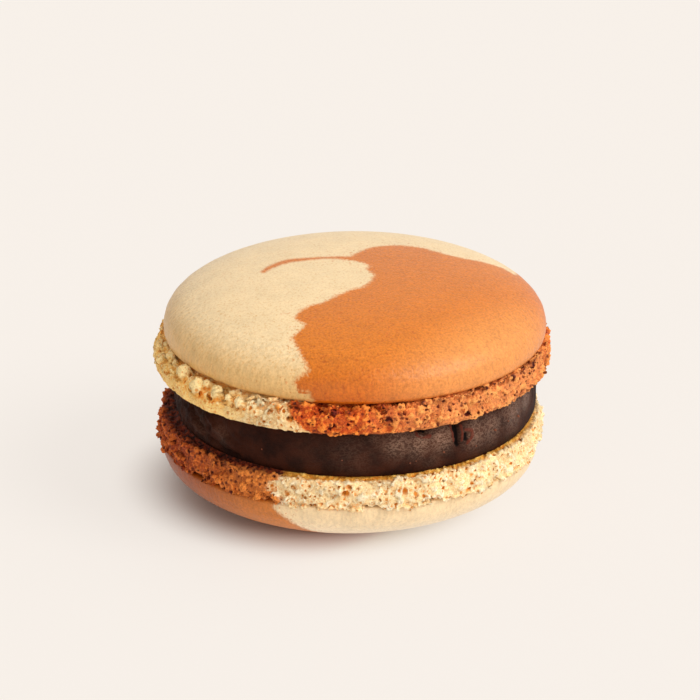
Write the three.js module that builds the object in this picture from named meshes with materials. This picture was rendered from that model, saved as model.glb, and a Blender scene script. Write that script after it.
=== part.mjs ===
// A French macaron: two round almond meringue shells, base to base, with a bulging layer of dark
// ganache between them. Each shell is one baked piece, a smooth domed cap on a craggy foot that
// stands out past the cap's edge. Millimetres, +Z up. The origin is on the surface that the macaron
// rests on, under the centre of the upper foot.
import * as THREE from "three";

// Cap: a dome whose section is a superellipse, with a rounded edge that tucks in under it
const CAP_SQUARENESS = 2.3; // 2 would be a plain ellipse
const CAP_TUCK = 0.75; // how far the edge turns in, from the widest ring
const CREVICE_DEPTH = 1.1; // of the groove between cap and foot, from the widest ring

// The two shells were piped and baked apart, so their sizes differ. capRise is from the cap's widest
// ring to its crown and capSkirt from that ring to its lower edge. The foot is the rough collar
// between that edge and the shell's flat base. It is fullest, at footRadius, at the share footFullest
// of its height. capShift is how far the cap sits off the centre of the foot, and flatDepth how much
// of the crown is pressed flat.
const UPPER = {
  capRadius: 22.86,
  capRise: 6.9,
  capSkirt: 1.4,
  capShift: 0.34,
  footRadius: 23.75,
  footHeight: 3.2,
  footFullest: 0.62,
  baseRadius: 23.3,
  flatDepth: 0,
  lumpSeed: 11,
  footSeed: 14,
  capSeed: 18,
};
const LOWER = {
  capRadius: 22.62,
  capRise: 7.4,
  capSkirt: 0.4,
  capShift: -0.12,
  footRadius: 23.1,
  footHeight: 3.45,
  footFullest: 0.7,
  baseRadius: 22.6,
  flatDepth: 0.15,
  lumpSeed: 53,
  footSeed: 56,
  capSeed: 60,
};
const heightOf = (shell) => shell.footHeight + shell.capSkirt + shell.capRise - shell.flatDepth;

// Lumps on the foot: half balls in a jittered grid of cells, flattened
const LUMP_CELLS = 68; // round the foot
const LUMP_FLATNESS = 0.42;
const LUMP_MEAN = 0.52; // what the lumps stand out on average, taken off again
const LUMP_FADE = 0.2; // share of the way up the foot over which they grow, and fade out again

// Slow unevenness round the foot, the cap and the ganache
const FOOT_WAVER = 0.12;
const CAP_WAVER = 0.06;
const GANACHE_WAVER = 0.16;

// Ganache: a disc whose side bulges most a little below its middle
const GANACHE_THICKNESS = 6.0; // between the two bases
const GANACHE_RADIUS = 21.8;
const GANACHE_TOP_RADIUS = 20.9; // where its side meets the upper shell
const GANACHE_BOTTOM_RADIUS = 21.3;
const GANACHE_FULLEST = 0.45; // the height of its fullest ring, as a share of its own
const GANACHE_CENTRE_X = 0.35;
const GANACHE_SEED = 31;
const BULGE_ROUNDNESS = 2.4;
const BULGE_FULLNESS = 0.6;
const CONTACT_GAP = 0.3; // between the ganache and each shell

// Where things sit
const LOWER_BASE_Z = heightOf(LOWER);
const UPPER_BASE_Z = LOWER_BASE_Z + GANACHE_THICKNESS;
const LOWER_SHELL_X = -0.15;

// Facets
const RING_POINTS = 160; // round the foot; the smooth parts have a half and a quarter of them
const HALF_POINTS = RING_POINTS / 2;
const QUARTER_POINTS = RING_POINTS / 4;
const FOOT_ROWS = 9;
const CAP_ROWS = 10;
const HALF_RINGS = 6; // of the cap's rings, the lowest, which have half of the points
const GANACHE_POINTS = 96;
const GANACHE_ROWS = 10;

const TURN = 2 * Math.PI;

// A number from 0 to 1 that belongs to three whole numbers
function hash(i, j, k) {
  let h = (Math.imul(i, 374761393) + Math.imul(j, 668265263) + Math.imul(k, 1442695041)) | 0;
  h = Math.imul(h ^ (h >>> 13), 1274126177);
  return ((h ^ (h >>> 16)) >>> 0) / 4294967296;
}

const smoothStep = (low, high, x) => THREE.MathUtils.smoothstep(x, low, high);

// Height of the lumps on the foot, at an angle round it and a rise up its side. Each cell of the grid
// holds one half ball of its own size, and the highest ball counts.
function lumpHeight(angle, rise, { footRadius, lumpSeed }) {
  const cell = (TURN * footRadius) / LUMP_CELLS;
  const arc = angle * footRadius;
  const column = Math.floor(arc / cell);
  const row = Math.floor(rise / cell);
  let height = 0;
  for (let j = row - 1; j <= row + 1; j++) {
    for (let i = column - 1; i <= column + 1; i++) {
      const wrapped = (i + LUMP_CELLS) % LUMP_CELLS;
      const x = (i + 0.15 + 0.7 * hash(wrapped, j, lumpSeed)) * cell;
      const y = (j + 0.15 + 0.7 * hash(wrapped, j, lumpSeed + 1)) * cell;
      const radius = (0.5 + 0.5 * hash(wrapped, j, lumpSeed + 2)) * cell;
      const inside = 1 - ((arc - x) ** 2 + (rise - y) ** 2) / radius ** 2;
      if (inside > 0) height = Math.max(height, radius * Math.sqrt(inside));
    }
  }
  return height * LUMP_FLATNESS - LUMP_MEAN;
}

// Slow unevenness round a shell or the ganache: three waves with phases of their own
function slowWave(angle, seed) {
  return [2, 3, 5].reduce(
    (sum, waves, n) => sum + Math.sin(waves * angle + TURN * hash(waves, n, seed)) / waves, 0);
}

// Points [radius, z] up the side of the foot, from the edge of the base to the bottom of the crevice
function footOutline({ capRadius, footRadius, footHeight, footFullest, baseRadius }) {
  const groove = capRadius - CREVICE_DEPTH;
  const corners = [
    [baseRadius, 0],
    [baseRadius + 0.3, 0.25],
    [footRadius - 0.1, (footFullest - 0.22) * footHeight],
    [footRadius, footFullest * footHeight],
    [footRadius - 0.4, (footFullest + 0.22) * footHeight],
    [groove + 0.7, 0.97 * footHeight],
    [groove, footHeight],
  ];
  const curve = new THREE.SplineCurve(corners.map(([r, z]) => new THREE.Vector2(r, z)));
  return curve.getSpacedPoints(FOOT_ROWS);
}

// Points [radius, z] of the cap, from its tucked edge out to the widest ring and up towards the crown,
// as far as the part of the crown that is pressed flat
function capOutline({ capRadius, capRise, capSkirt, footHeight, flatDepth }) {
  const widest = footHeight + capSkirt;
  const power = 2 / CAP_SQUARENESS;
  const dome = Array.from({ length: CAP_ROWS }, (_, row) => {
    const t = (0.5 * Math.PI * row) / CAP_ROWS;
    return new THREE.Vector2(capRadius * Math.cos(t) ** power, widest + capRise * Math.sin(t) ** power);
  });
  return [
    new THREE.Vector2(capRadius - CAP_TUCK, footHeight + 0.15 * capSkirt),
    new THREE.Vector2(capRadius - 0.2 * CAP_TUCK, footHeight + 0.45 * capSkirt),
    ...dome.filter((p) => p.y < widest + capRise - flatDepth),
  ];
}

// Radius of the flat spot on a crown that is pressed in by flatDepth
function flatRadius({ capRadius, capRise, flatDepth }) {
  const share = 1 - flatDepth / capRise;
  return capRadius * (1 - share ** CAP_SQUARENESS) ** (1 / CAP_SQUARENESS);
}

// One ring of points round the axis; place(angle) gives each its THREE.Vector3
function ring(count, place) {
  return Array.from({ length: count }, (_, n) => place((TURN * n) / count));
}

// A closed surface over rings that run from the bottom pole to the top pole. Neighbours have as many
// points as each other, or twice or half as many, and each pole is a ring of one point.
function skin(rings) {
  const positions = rings.flat().flatMap((p) => [p.x, p.y, p.z]);
  const index = [];
  let start = 0;
  for (let n = 0; n + 1 < rings.length; n++) {
    const low = rings[n].length;
    const high = rings[n + 1].length;
    const lowAt = (i) => start + (i % low);
    const highAt = (i) => start + low + (i % high);
    const steps = Math.max(low, high);
    for (let i = 0; i < steps; i++) {
      const a = Math.round((i * low) / steps - 1e-6);
      const b = Math.round(((i + 1) * low) / steps - 1e-6);
      const c = Math.round((i * high) / steps - 1e-6);
      const d = Math.round(((i + 1) * high) / steps - 1e-6);
      if (b > a) index.push(lowAt(a), lowAt(b), highAt(d));
      if (d > c) index.push(lowAt(a), highAt(d), highAt(c));
    }
    start += low;
  }
  const geometry = new THREE.BufferGeometry();
  geometry.setAttribute("position", new THREE.Float32BufferAttribute(positions, 3));
  geometry.setIndex(index);
  geometry.computeVertexNormals();
  return geometry;
}

// A flat ring of the shell, at its own radius
function flatRing(count, radius, centreX, z) {
  return ring(count, (angle) =>
    new THREE.Vector3(centreX + radius * Math.cos(angle), radius * Math.sin(angle), z));
}

// A shell, base down at z 0 and crown up
function shellGeometry(shell) {
  const { baseRadius, capShift, flatDepth, footSeed, capSeed } = shell;
  const foot = footOutline(shell);
  const last = foot.length - 1;
  let rise = 0;
  const footRings = foot.map((p, n) => {
    const ahead = foot[Math.min(n + 1, last)];
    const behind = foot[Math.max(n - 1, 0)];
    const out = new THREE.Vector2(ahead.y - behind.y, behind.x - ahead.x).normalize();
    const share = smoothStep(0, LUMP_FADE, n / last) * (1 - smoothStep(1 - LUMP_FADE, 1, n / last));
    rise += p.distanceTo(behind);
    return ring(RING_POINTS, (angle) => {
      const push = share * lumpHeight(angle, rise, shell);
      const r = p.x + out.x * push + FOOT_WAVER * slowWave(angle, footSeed);
      return new THREE.Vector3(r * Math.cos(angle), r * Math.sin(angle), Math.max(0, p.y + out.y * push));
    });
  });
  const capRings = capOutline(shell).map((p, n) =>
    ring(n < HALF_RINGS ? HALF_POINTS : QUARTER_POINTS, (angle) => {
      const r = p.x + CAP_WAVER * slowWave(angle, capSeed);
      return new THREE.Vector3(capShift + r * Math.cos(angle), r * Math.sin(angle), p.y);
    }));
  const crownZ = heightOf(shell);
  return skin([
    [new THREE.Vector3(0, 0, 0)],
    flatRing(QUARTER_POINTS, 0.5 * baseRadius, 0, 0),
    flatRing(HALF_POINTS, 0.9 * baseRadius, 0, 0),
    ...footRings,
    ...capRings,
    ...(flatDepth > 0 ? [flatRing(QUARTER_POINTS, flatRadius(shell), capShift, crownZ)] : []),
    [new THREE.Vector3(capShift, 0, crownZ)],
  ]);
}

// The ganache, bottom at z 0: its side bulges as a superellipse above and below its fullest ring
function ganacheGeometry() {
  const height = GANACHE_THICKNESS - 2 * CONTACT_GAP;
  const fullest = GANACHE_FULLEST * height;
  const rows = Array.from({ length: GANACHE_ROWS + 1 }, (_, n) => {
    const z = 0.5 * height * (1 - Math.cos((Math.PI * n) / GANACHE_ROWS));
    const below = z < fullest;
    const contact = below ? GANACHE_BOTTOM_RADIUS : GANACHE_TOP_RADIUS;
    const away = below ? (fullest - z) / fullest : (z - fullest) / (height - fullest);
    const bulge = (GANACHE_RADIUS - contact) * (1 - away ** BULGE_ROUNDNESS) ** BULGE_FULLNESS;
    return ring(GANACHE_POINTS, (angle) => {
      const r = contact + bulge + GANACHE_WAVER * slowWave(angle, GANACHE_SEED);
      return new THREE.Vector3(r * Math.cos(angle), r * Math.sin(angle), z);
    });
  });
  const innerDisc = (z) => flatRing(GANACHE_POINTS / 2, 0.5 * GANACHE_RADIUS, 0, z);
  return skin([
    [new THREE.Vector3(0, 0, 0)],
    innerDisc(0),
    ...rows,
    innerDisc(height),
    [new THREE.Vector3(0, 0, height)],
  ]);
}

const CARAMEL = 0xd98147;
const VANILLA = 0xecd3a0;
const CHOCOLATE = 0x35211a;
const meringue = (color) => new THREE.MeshStandardMaterial({ color, roughness: 0.72, metalness: 0 });
const satin = (color) => new THREE.MeshStandardMaterial({ color, roughness: 0.42, metalness: 0 });

const macaron = new THREE.Group();

const upperShell = new THREE.Mesh(shellGeometry(UPPER), meringue(CARAMEL));
upperShell.name = "upper_shell";
upperShell.position.z = UPPER_BASE_Z;

// The lower shell lies crown down, so it is turned over about X
const lowerShell = new THREE.Mesh(shellGeometry(LOWER), meringue(VANILLA));
lowerShell.name = "lower_shell";
lowerShell.rotation.x = Math.PI;
lowerShell.position.set(LOWER_SHELL_X, 0, LOWER_BASE_Z);

const ganache = new THREE.Mesh(ganacheGeometry(), satin(CHOCOLATE));
ganache.name = "ganache";
ganache.position.set(GANACHE_CENTRE_X, 0, LOWER_BASE_Z + CONTACT_GAP);

macaron.add(upperShell, ganache, lowerShell);

export default macaron;
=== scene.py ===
"""A French macaron: two almond meringue shells, marbled in cream and caramel, around dark ganache.

Shapes are worked out in millimetres, as whole numpy arrays, and put into their meshes in metres at
their real places. A shell is a stack of rings from the middle of its flat base to its crown. The
large lumps of its foot are the solid's own. Curds, crumb and open bubbles of the baked foam are
pushed out of them and pressed into them, layer after layer, each along the last layer's normals.
Pixels named below are places in the photograph, 700 by 700, that are carried onto the surfaces.
"""
import math
from dataclasses import dataclass
from itertools import product

import bpy
import numpy as np
from mathutils import Matrix, Vector


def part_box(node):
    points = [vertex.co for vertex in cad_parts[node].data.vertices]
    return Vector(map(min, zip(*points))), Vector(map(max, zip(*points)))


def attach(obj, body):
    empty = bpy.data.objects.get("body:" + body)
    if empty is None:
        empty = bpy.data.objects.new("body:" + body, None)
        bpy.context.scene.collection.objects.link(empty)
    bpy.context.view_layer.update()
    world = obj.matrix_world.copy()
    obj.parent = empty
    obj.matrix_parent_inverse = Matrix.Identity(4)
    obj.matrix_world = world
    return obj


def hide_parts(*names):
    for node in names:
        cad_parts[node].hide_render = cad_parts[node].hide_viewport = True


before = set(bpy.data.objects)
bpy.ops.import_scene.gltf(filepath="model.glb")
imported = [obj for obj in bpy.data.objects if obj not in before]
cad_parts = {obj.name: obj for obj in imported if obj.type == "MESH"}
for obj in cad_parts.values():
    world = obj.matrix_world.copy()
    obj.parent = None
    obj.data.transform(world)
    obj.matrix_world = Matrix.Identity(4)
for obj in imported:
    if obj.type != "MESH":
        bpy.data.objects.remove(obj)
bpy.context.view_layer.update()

MM = 0.001
TURN = 2 * math.pi
FRONT = -0.5 * math.pi  # the angle that faces the camera

# Camera, fitted to the outlines of the photograph
PHOTO_PIXELS = 700
SENSOR = 36.0
CAMERA_ELEVATION = math.radians(22.96)
CAMERA_DISTANCE = 600.0
AIM_HEIGHT = 14.23  # this point of the axis shows at AIM_PIXEL
AIM_PIXEL = (352.0, 380.0)
PIXELS_PER_MM = 8.3125  # at the camera's distance
FOCAL_PIXELS = PIXELS_PER_MM * CAMERA_DISTANCE
SIGHT_LEVELS = 4001

# Both shells
CAP_SQUARENESS = 2.3  # the cap's section is a superellipse; 2 would be a plain ellipse
CAP_TUCK = 0.75
CREVICE_DEPTH = 1.1
LUMP_CELLS = 68
LUMP_FLATNESS = 0.42
LUMP_MEAN = 0.52
LUMP_FADE = 0.2
FOOT_WAVER = 0.12
CAP_WAVER = 0.06

# The feet's finer relief
SMOOTH_STRETCH = [math.radians(degrees) for degrees in (170, 190, 230, 244)]  # its skirt is smooth
BRIM_REACH = 0.75
BRIM_LIFT = 0.30
CREVICE_REACH = 0.45
LIP_LIFT = 0.22
OUT_OF_SIGHT = 1e3  # added to the pixel distance of points that face away
BALL_SET_IN = 0.25  # in radii, as the next three are
MOAT_DEPTH = 0.35
MOAT_AT = 1.2
MOAT_WIDTH = 0.22
GRAIN_SIZE = 0.26
GRAIN_HEIGHT = 0.035
RIBS_PER_RADIAN = 45.0
RIB_BEND = 0.25
RIB_HEIGHT = 0.045
DEEPEST_BUBBLE = 1.3  # in radii
BASE_SAG = 0.35  # how far the lower base may rise into the ganache
FAR_FROM_TAIL = 5.0

# Ganache
GANACHE_RADIUS = 21.8
GANACHE_TOP_RADIUS = 20.9
GANACHE_BOTTOM_RADIUS = 21.3
GANACHE_FULLEST = 0.45
GANACHE_CENTRE_X = 0.35
GANACHE_SEED = 31
GANACHE_WAVER = 0.16
BULGE_ROUNDNESS = 2.4
BULGE_FULLNESS = 0.6
GANACHE_BITE = 0.06  # how far the soft ganache is pressed into each base
GANACHE_SIDE_FROM = 20.0
GANACHE_INNER_RADII = [0.0, 4.0, 9.0, 15.0, 19.5]
GANACHE_INNER_POINTS = [1, 90, 180, 360, 720]
WRINKLE_HEIGHT = 0.022
WRINKLE_LEAN = np.array([1.1, 0.0, 0.0])

# Points round the foot and the ganache, and rows of their parts
FOOT_POINTS = 1280
FRONT_CROWDING = 0.3  # points stand closer together towards the camera
BASE_ROWS = 13
BASE_FROM = 21.0
INNER_POINTS = [1, 20, 40, 80, 160, 320, 640]
INNER_RADII = [0.0, 0.8, 1.6, 3.2, 6.4, 12.0, 18.0]
FOOT_ROWS = 38
EDGE_ROWS = 10
EDGE_STEP = 0.24
DOME_ROWS = 28
GANACHE_POINTS = 1440
GANACHE_ROWS = 56

# Light and floor. The studio is brighter on one side. Away from the macaron the floor glows a
# little, so that its shadow fades out
FLOOR_REACH = 2000.0
FLOOR_COLOUR = (0.17, 0.162, 0.155, 1.0)
FLOOR_GLOW = (0.742, 0.694, 0.645, 1.0)
CONTACT_COLOUR = (0.82, 0.80, 0.765, 1.0)
CONTACT_CENTRE = (-5.2, 3.2, 0.0)
CONTACT_FROM, CONTACT_TO = 15.0, 24.5
SKY_SIDE = (0.48, -0.20, 0.86)
SKY_DARK = (0.20, 0.172, 0.145, 1.0)
SKY_BRIGHT = (1.02, 1.0, 0.985, 1.0)
SHEEN_SIDE = (0.62, 0.72, 0.30)
SHEEN_DARK = (0.05, 0.045, 0.04, 1.0)
SHEEN_BRIGHT = (0.86, 0.85, 0.83, 1.0)
KEY_FROM = (0.68, -0.33, 0.66)
KEY_STRENGTH = 1.52
LAMP_COLOUR = (1.0, 0.985, 0.96)
KEY_SPREAD = 30.0
FILL_FROM = (-0.22, -0.97, 0.10)
FILL_STRENGTH = 0.60
FILL_SPREAD = 60.0


@dataclass
class Shell:
    """Sizes of one shell, as its solid has them, and its place. side is 1 for crown up."""
    cap_radius: float
    cap_rise: float
    cap_skirt: float
    cap_shift: float
    foot_radius: float
    foot_height: float
    foot_fullest: float
    base_radius: float
    flat_depth: float
    lump_seed: int
    foot_seed: int
    cap_seed: int
    centre_x: float
    base_z: float
    side: int

    @property
    def widest(self):
        """Height of the cap's widest ring over the base."""
        return self.foot_height + self.cap_skirt

    @property
    def top(self):
        """Height of the flattened crown over the base."""
        return self.widest + self.cap_rise - self.flat_depth

    def turn(self, directions):
        """Directions turned over with the shell: half a turn about X where the crown is down."""
        return directions * np.array([1.0, self.side, self.side])

    def to_world(self, points):
        """The shell's own points, base at z 0 and crown up, at their place on the macaron."""
        return self.turn(points) + np.array([self.centre_x, 0.0, self.base_z])

    def to_own(self, points):
        """Places on the macaron, in the shell's own frame."""
        return self.turn(points - np.array([self.centre_x, 0.0, self.base_z]))


UPPER = Shell(
    cap_radius=22.86, cap_rise=6.9, cap_skirt=1.4, cap_shift=0.34,
    foot_radius=23.75, foot_height=3.2, foot_fullest=0.62, base_radius=23.3,
    flat_depth=0.0, lump_seed=11, foot_seed=14, cap_seed=18,
    centre_x=0.0, base_z=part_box("upper_shell")[0].z / MM, side=1)
LOWER = Shell(
    cap_radius=22.62, cap_rise=7.4, cap_skirt=0.4, cap_shift=-0.12,
    foot_radius=23.1, foot_height=3.45, foot_fullest=0.7, base_radius=22.6,
    flat_depth=0.15, lump_seed=53, foot_seed=56, cap_seed=60,
    centre_x=-0.15, base_z=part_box("lower_shell")[1].z / MM, side=-1)


@dataclass
class Foam:
    """One kind of ball or bubble in the baked foam: the size of the cells that hold them, their
    radii, the share of cells with one, how strongly they show, and their mean height."""
    cell: float
    smallest: float
    largest: float
    share: float
    strength: float
    mean: float = 0.0


CURDS = Foam(cell=1.05, smallest=0.40, largest=0.72, share=0.75, strength=0.62, mean=0.28)
CRUMB = Foam(cell=0.52, smallest=0.22, largest=0.34, share=0.85, strength=0.78, mean=0.14)
CAVES = Foam(cell=1.3, smallest=0.26, largest=0.52, share=0.45, strength=0.7)
PORES = Foam(cell=0.55, smallest=0.15, largest=0.25, share=0.6, strength=1.0)
CELL_MARGIN, CELL_ROOM = 0.15, 0.7  # a ball's centre keeps off the sides of its cell


# Numbers that belong to a place

def chance(i, j, k):
    """A number from 0 to 1 that belongs to three whole numbers: they are mixed by multiplying with
    large odd numbers and folding the high bits down, as for the lumps of the solid."""
    i, j, k = (np.atleast_1d(n).astype(np.int64).astype(np.uint32) for n in (i, j, k))
    mixed = i * np.uint32(374761393) + j * np.uint32(668265263) + k * np.uint32(1442695041)
    mixed = (mixed ^ (mixed >> np.uint32(13))) * np.uint32(1274126177)
    return (mixed ^ (mixed >> np.uint32(16))) / 4294967296.0


def smooth_step(low, high, x):
    """0 below low and 1 above high. Between them, t from 0 to 1 gives 3 t squared less 2 t cubed."""
    t = np.clip((x - low) / (high - low), 0.0, 1.0)
    return t * t * (3.0 - 2.0 * t)


def band(rise_from, rise_to, fall_from, fall_to, x):
    """1 from rise_to to fall_from, with a smooth step down to 0 on each side."""
    return smooth_step(rise_from, rise_to, x) * (1.0 - smooth_step(fall_from, fall_to, x))


def soft_noise(points, size, seed):
    """Smooth noise from -1 to 1: a random number at each corner of a cubic grid with cells of the
    given size, blended across each cell by smooth steps along its three edges."""
    scaled = points / size
    corner = np.floor(scaled).astype(int)
    t = scaled - corner
    t = t * t * (3.0 - 2.0 * t)
    total = np.zeros(len(points))
    for step in product((0, 1), repeat=3):
        share = np.prod(np.where(step, t, 1.0 - t), axis=1)
        at = corner + np.array(step)
        total += share * chance(at[:, 0], at[:, 1], 97 * at[:, 2] + seed)
    return 2.0 * total - 1.0


def slow_wave(angle, seed):
    """Slow unevenness: three sine waves, 2, 3 and 5 to a turn, with phases of their own."""
    return sum(np.sin(waves * angle + TURN * chance(waves, n, seed)) / waves
               for n, waves in enumerate((2, 3, 5)))


def lump_height(angle, rise, shell):
    """The solid's lumps: a jittered grid of cells round the foot, each with one half ball of its own
    size. The highest ball at a point counts, flattened, less the lumps' mean height."""
    cell = TURN * shell.foot_radius / LUMP_CELLS
    arc = angle * shell.foot_radius
    column = np.floor(arc / cell).astype(int)
    row = np.floor(rise / cell).astype(int)
    height = np.zeros(len(angle))
    for dj, di in product((-1, 0, 1), repeat=2):
        i, j = column + di, row + dj
        wrapped = np.mod(i, LUMP_CELLS)
        x = (i + CELL_MARGIN + CELL_ROOM * chance(wrapped, j, shell.lump_seed)) * cell
        y = (j + CELL_MARGIN + CELL_ROOM * chance(wrapped, j, shell.lump_seed + 1)) * cell
        radius = (0.5 + 0.5 * chance(wrapped, j, shell.lump_seed + 2)) * cell
        inside = np.clip(1.0 - ((arc - x) ** 2 + (rise - y) ** 2) / radius ** 2, 0.0, None)
        height = np.maximum(height, radius * np.sqrt(inside))
    return height * LUMP_FLATNESS - LUMP_MEAN


def scattered_balls(points, foam, seed):
    """One ball in each cell of a cubic grid, placed and sized by chance and there by chance too.
    Gives, for each of the 27 cells near each point, the way from ball to point, the ball's radius,
    and whether it is there and holds the point."""
    near = np.floor(points / foam.cell).astype(int)
    for step in product((-1, 0, 1), repeat=3):
        at = near + np.array(step)
        draw = [chance(at[:, 0], at[:, 1], 97 * at[:, 2] + seed + n) for n in range(5)]
        away = points - (at + CELL_MARGIN + CELL_ROOM * np.stack(draw[:3], axis=1)) * foam.cell
        radius = foam.smallest + (foam.largest - foam.smallest) * draw[3] ** 2
        reach = radius ** 2 - (away ** 2).sum(axis=1)
        yield away, radius, reach, (draw[4] < foam.share) & (reach > 0.0)


def curds(points, normals, foam, seed):
    """How far balls of foam stand out of the surface: from each point along its normal to the far
    side of the ball that it lies in, and of several balls the farthest, less the mean."""
    height = np.zeros(len(points))
    for away, _, reach, inside in scattered_balls(points, foam, seed):
        above = np.clip((away * normals).sum(axis=1), 0.0, None)
        stand = np.sqrt(np.clip(reach, 0.0, None) + above ** 2) - above
        height = np.where(inside, np.maximum(height, stand), height)
    return height - foam.mean


def bubbles(points, normals, foam, seed):
    """How deep open bubbles go: from each point against its normal to the far wall of the bubble that
    it lies in, up to a few radii."""
    depth = np.zeros(len(points))
    for away, radius, reach, inside in scattered_balls(points, foam, seed):
        along = (away * normals).sum(axis=1)
        sink = along + np.sqrt(np.clip(reach, 0.0, None) + along ** 2)
        sink = np.minimum(sink, DEEPEST_BUBBLE * radius)
        depth = np.where(inside, np.maximum(depth, sink), depth)
    return depth


# Curves and meshes

def smooth_curve(points, steps):
    """A curve through the points: on each span the cubic that leaves each end along the line between
    its neighbours (Catmull-Rom), at the given number of steps a span."""
    points = np.asarray(points, float)
    before = np.vstack([points[:1], points[:-2]])
    after = np.vstack([points[2:], points[-1:]])
    start, end = points[:-1], points[1:]
    t = (np.arange(steps) / steps)[None, :, None]
    a, b, c, d = (p[:, None, :] for p in (before, start, end, after))
    curve = 0.5 * (2 * b + (c - a) * t + (2 * a - 5 * b + 4 * c - d) * t ** 2
                   + (3 * b - a - 3 * c + d) * t ** 3)
    return np.vstack([curve.reshape(-1, points.shape[1]), points[-1:]])


def length_along(curve):
    """The way along a curve from its first point to each of its points."""
    return np.concatenate([[0.0], np.cumsum(np.linalg.norm(np.diff(curve, axis=0), axis=1))])


def between_rows(table, rows, wanted):
    """A table's values at wanted places between its rows: each column on straight lines."""
    return np.stack([np.interp(wanted, rows, column) for column in table.T], axis=1)


def evenly(curve, count):
    """The curve again, as count points at even steps along it."""
    along = length_along(curve)
    return between_rows(curve, along, np.linspace(0.0, along[-1], count))


def ring_angles(counts):
    """Angles of evenly spaced points round each of a stack of rings."""
    return np.concatenate([TURN * np.arange(count) / count for count in counts])


def skin(counts):
    """Triangles of a closed surface over rings from the bottom pole to the top one. Neighbours have
    as many points as each other, or twice or half as many, and each pole is a ring of one point."""
    triangles = []
    start = 0
    for low, high in zip(counts[:-1], counts[1:]):
        steps = max(low, high)
        n = np.arange(steps)
        a, b = n * low // steps, (n + 1) * low // steps
        c, d = n * high // steps, (n + 1) * high // steps
        first = np.stack([start + a % low, start + b % low, start + low + d % high], axis=1)
        second = np.stack([start + a % low, start + low + d % high, start + low + c % high], axis=1)
        triangles += [first[b > a], second[d > c]]
        start += low
    return np.vstack(triangles)


def normals_of(points, triangles):
    """Each point's normal: the sum of the cross products of its triangles' edges, at length 1."""
    a, b, c = (points[triangles[:, n]] for n in range(3))
    cross = np.cross(b - a, c - a)
    summed = np.stack([
        sum(np.bincount(triangles[:, n], cross[:, axis], len(points)) for n in range(3))
        for axis in range(3)], axis=1)
    return summed / np.maximum(np.linalg.norm(summed, axis=1), 1e-12)[:, None]


def build_mesh(name, points, triangles, attributes=None):
    """A smooth-shaded object from points in millimetres, with a number at each point for each
    attribute."""
    mesh = bpy.data.meshes.new(name)
    mesh.vertices.add(len(points))
    mesh.vertices.foreach_set("co", (points * MM).astype(np.float32).ravel())
    mesh.loops.add(triangles.size)
    mesh.loops.foreach_set("vertex_index", triangles.astype(np.int32).ravel())
    mesh.polygons.add(len(triangles))
    mesh.polygons.foreach_set("loop_start", np.arange(0, triangles.size, 3, dtype=np.int32))
    mesh.update(calc_edges=True)
    mesh.polygons.foreach_set("use_smooth", np.ones(len(triangles), bool))
    for attribute, values in (attributes or {}).items():
        layer = mesh.attributes.new(attribute, "FLOAT", "POINT")
        layer.data.foreach_set("value", np.asarray(values, np.float32))
    mesh.validate()
    made = bpy.data.objects.new(name, mesh)
    bpy.context.scene.collection.objects.link(made)
    return made


# Camera, and what its pixels see

def camera_axes():
    """The camera's place and its right, up and forward directions. The aim's pixel is set off the
    middle of the picture by turning the camera, not by shifting its lens."""
    level = np.array([0.0, math.cos(CAMERA_ELEVATION), -math.sin(CAMERA_ELEVATION)])
    raised = np.array([0.0, math.sin(CAMERA_ELEVATION), math.cos(CAMERA_ELEVATION)])
    sideways = np.array([1.0, 0.0, 0.0])
    aim = np.array([0.0, 0.0, AIM_HEIGHT])
    eye = aim - CAMERA_DISTANCE * level
    off_x = (AIM_PIXEL[0] - 0.5 * PHOTO_PIXELS) / PIXELS_PER_MM
    off_y = (AIM_PIXEL[1] - 0.5 * PHOTO_PIXELS) / PIXELS_PER_MM
    middle = aim - off_x * sideways + off_y * raised
    forward = (middle - eye) / np.linalg.norm(middle - eye)
    right = np.cross(forward, [0.0, 0.0, 1.0])
    right /= np.linalg.norm(right)
    return eye, right, np.cross(right, forward), forward


def sight_lines(pixels):
    """The camera's place, and the direction from it through each pixel."""
    eye, right, up, forward = camera_axes()
    across = (np.asarray(pixels, float) - 0.5 * PHOTO_PIXELS) / FOCAL_PIXELS
    return eye, forward + across[:, :1] * right - across[:, 1:] * up


def on_shell(pixels, shell):
    """Where each pixel's sight line first meets the shell without its relief, in the shell's own
    frame: the highest of many levels at which the line is inside the outline of foot and cap."""
    eye, lines = sight_lines(pixels)
    eye = shell.to_own(eye)
    lines = shell.turn(lines)
    outline = np.vstack([foot_outline(shell), cap_outline(shell)[:, :2]])
    if shell.side > 0:
        outline = outline[::-1]
    centre = np.where(outline[:, 1] > shell.foot_height, shell.cap_shift, 0.0)
    steps = np.linspace(0.0, len(outline) - 1.0, SIGHT_LEVELS)
    table = np.column_stack([outline, centre])
    radii, levels, centre = between_rows(table, np.arange(len(outline)), steps).T[:, :, None]
    travel = (levels - eye[2]) / lines[:, 2]
    x, y = (eye[n] + travel * lines[:, n] for n in (0, 1))
    outside = np.hypot(x - centre, y) - radii
    hit = np.where((outside < 0.0).any(axis=0), (outside < 0.0).argmax(axis=0), outside.argmin(axis=0))
    each = np.arange(len(lines))
    return np.stack([x[hit, each], y[hit, each], levels[hit, 0]], axis=1)


def to_pixels(points):
    """Where places on the macaron show in the picture."""
    eye, right, up, forward = camera_axes()
    away = points - eye
    across = np.stack([away @ right, -(away @ up)], axis=1)
    return 0.5 * PHOTO_PIXELS + FOCAL_PIXELS * across / (away @ forward)[:, None]


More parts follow.
